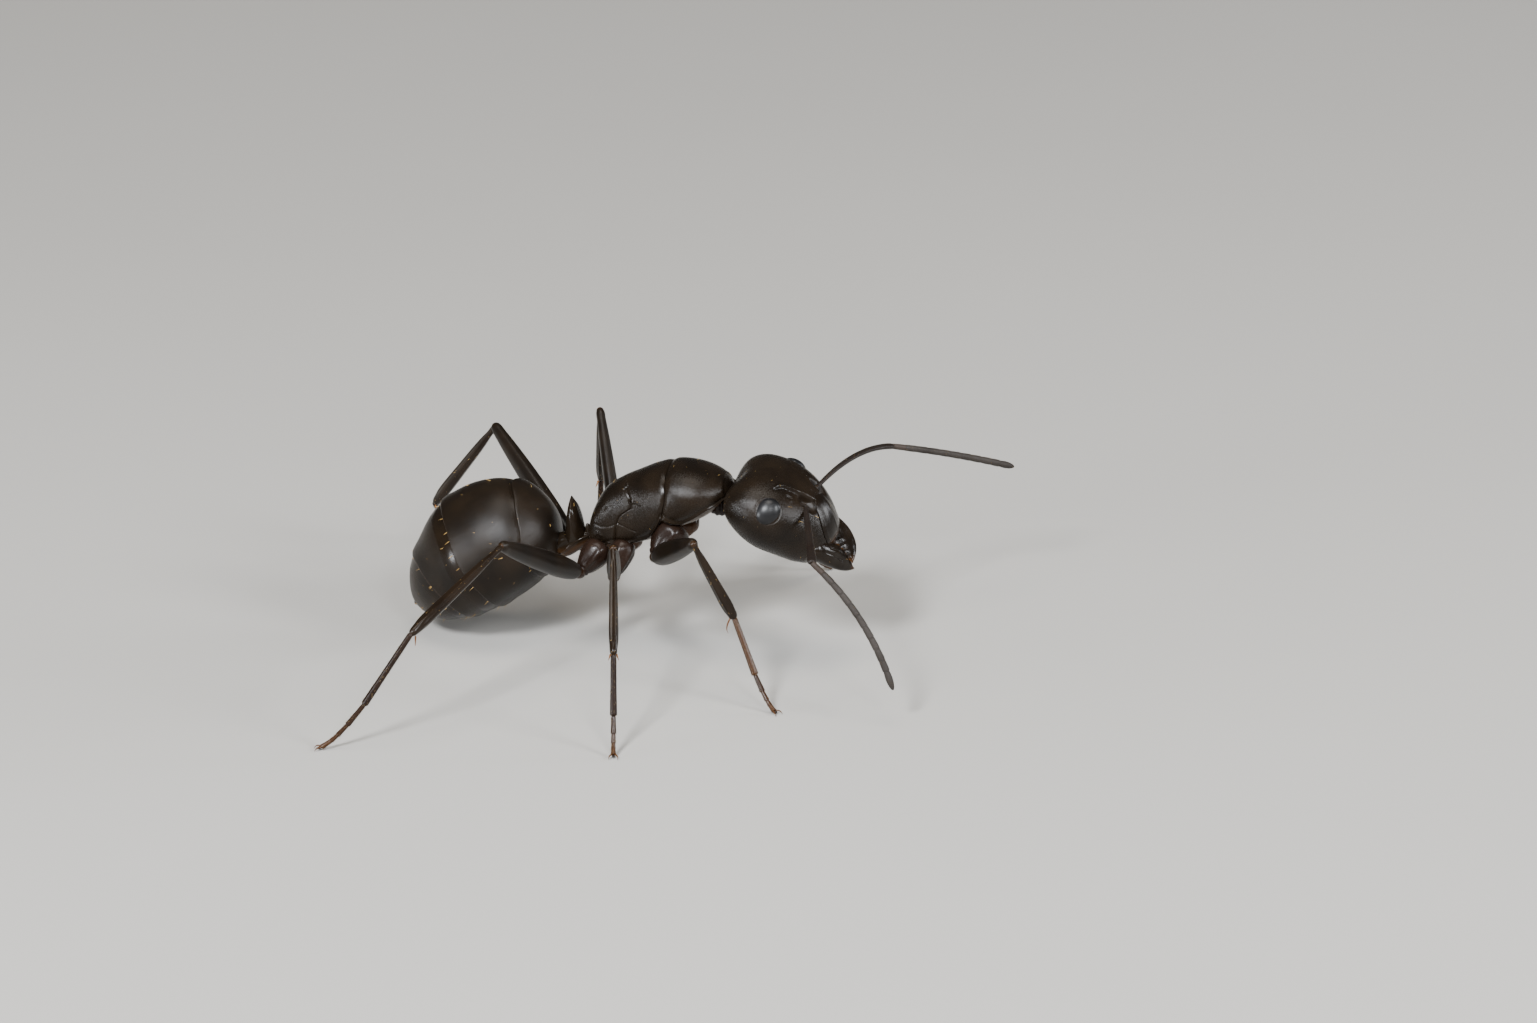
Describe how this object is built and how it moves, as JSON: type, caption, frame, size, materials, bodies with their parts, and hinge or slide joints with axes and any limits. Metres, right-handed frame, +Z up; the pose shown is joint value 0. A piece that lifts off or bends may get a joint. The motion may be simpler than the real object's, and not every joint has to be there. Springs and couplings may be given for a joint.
{
  "type": "carpenter ant worker",
  "caption": "Black carpenter ant worker, life size and still, walking with its head lowered and its feelers spread to either side.",
  "frame": {"origin": "on the floor under the middle of the whole ant's box, legs and feelers included", "axes": "+X forwards towards the head, +Y to the ant's left, +Z up, the feet at Z = 0"},
  "size_m": [0.0146, 0.015, 0.0051],
  "materials": {
    "cuticle_black": "near-black insect shell, finely grained, with a satin to glossy surface",
    "cuticle_brown": "dark red-brown insect shell, smooth and glossy",
    "eye_grey": "dark grey compound eye of fine facets, satin",
    "feeler_grey": "brown-grey feeler covered in very fine down, matt",
    "joint_amber": "amber-brown, thinner shell at joints, spurs, claws and mandible edges, glossy",
    "bristle_gold": "golden-brown bristle"
  },
  "bodies": {
    "root": {"head": "cuticle_black", "mandible_left": "cuticle_black", "mandible_right": "cuticle_black", "scape_left": "cuticle_black", "scape_right": "cuticle_black", "pronotum": "cuticle_black", "mesothorax": "cuticle_black", "propodeum": "cuticle_black", "petiole": "cuticle_black", "gaster_1": "cuticle_black", "gaster_2": "cuticle_black", "gaster_3": "cuticle_black", "gaster_4": "cuticle_black", "eye_left": "eye_grey", "eye_right": "eye_grey", "funiculus_left": "feeler_grey", "funiculus_right": "feeler_grey", "neck": "cuticle_brown", "coxa_front_left": "cuticle_brown", "femur_front_left": "cuticle_black", "tibia_front_left": "cuticle_black", "tarsus_front_left": "cuticle_brown", "coxa_front_right": "cuticle_brown", "femur_front_right": "cuticle_black", "tibia_front_right": "cuticle_black", "tarsus_front_right": "cuticle_brown", "coxa_middle_left": "cuticle_brown", "femur_middle_left": "cuticle_black", "tibia_middle_left": "cuticle_black", "tarsus_middle_left": "cuticle_brown", "coxa_middle_right": "cuticle_brown", "femur_middle_right": "cuticle_black", "tibia_middle_right": "cuticle_black", "tarsus_middle_right": "cuticle_brown", "coxa_hind_left": "cuticle_brown", "femur_hind_left": "cuticle_black", "tibia_hind_left": "cuticle_black", "tarsus_hind_left": "cuticle_brown", "coxa_hind_right": "cuticle_brown", "femur_hind_right": "cuticle_black", "tibia_hind_right": "cuticle_black", "tarsus_hind_right": "cuticle_brown"}
  },
  "joints": []
}
